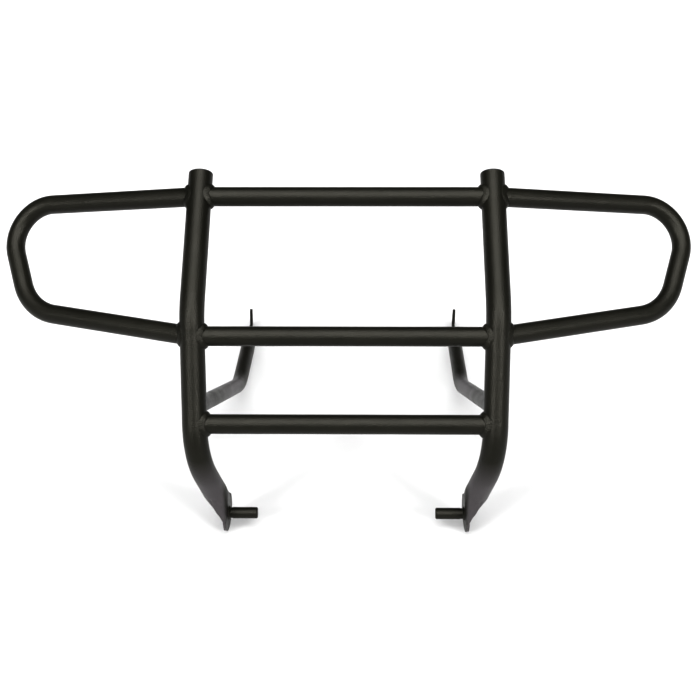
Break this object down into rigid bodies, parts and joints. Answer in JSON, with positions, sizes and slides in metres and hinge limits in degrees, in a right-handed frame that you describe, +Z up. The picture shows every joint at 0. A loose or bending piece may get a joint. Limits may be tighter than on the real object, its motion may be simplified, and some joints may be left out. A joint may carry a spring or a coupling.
{
  "type": "front grille guard",
  "caption": "Welded tubular front grille guard with crossbars, swept headlight loops, rear braces with flattened bolt tabs, and inward mounting pins.",
  "frame": {"origin": "on the ground, at the middle of the guard's footprint", "axes": "+X across the guard, +Y to the rear towards the vehicle, +Z up"},
  "size_m": [1.1032, 0.7122, 0.5331],
  "materials": {
    "powder_coat": "fine-textured satin powder coat on steel tube",
    "plastic": "satin moulded plug"
  },
  "bodies": {
    "root": {"left_brace_weld": "powder_coat", "left_end_cap": "plastic", "left_headlight_loop": "powder_coat", "left_lower_crossbar_weld": "powder_coat", "left_lower_loop_weld": "powder_coat", "left_middle_crossbar_weld": "powder_coat", "left_mounting_pin": "powder_coat", "left_pin_weld": "powder_coat", "left_rear_brace": "powder_coat", "left_top_crossbar_weld": "powder_coat", "left_upper_loop_weld": "powder_coat", "left_upright": "powder_coat", "lower_crossbar": "powder_coat", "middle_crossbar": "powder_coat", "right_brace_weld": "powder_coat", "right_end_cap": "plastic", "right_headlight_loop": "powder_coat", "right_lower_crossbar_weld": "powder_coat", "right_lower_loop_weld": "powder_coat", "right_middle_crossbar_weld": "powder_coat", "right_mounting_pin": "powder_coat", "right_pin_weld": "powder_coat", "right_rear_brace": "powder_coat", "right_top_crossbar_weld": "powder_coat", "right_upper_loop_weld": "powder_coat", "right_upright": "powder_coat", "top_crossbar": "powder_coat"}
  },
  "joints": []
}
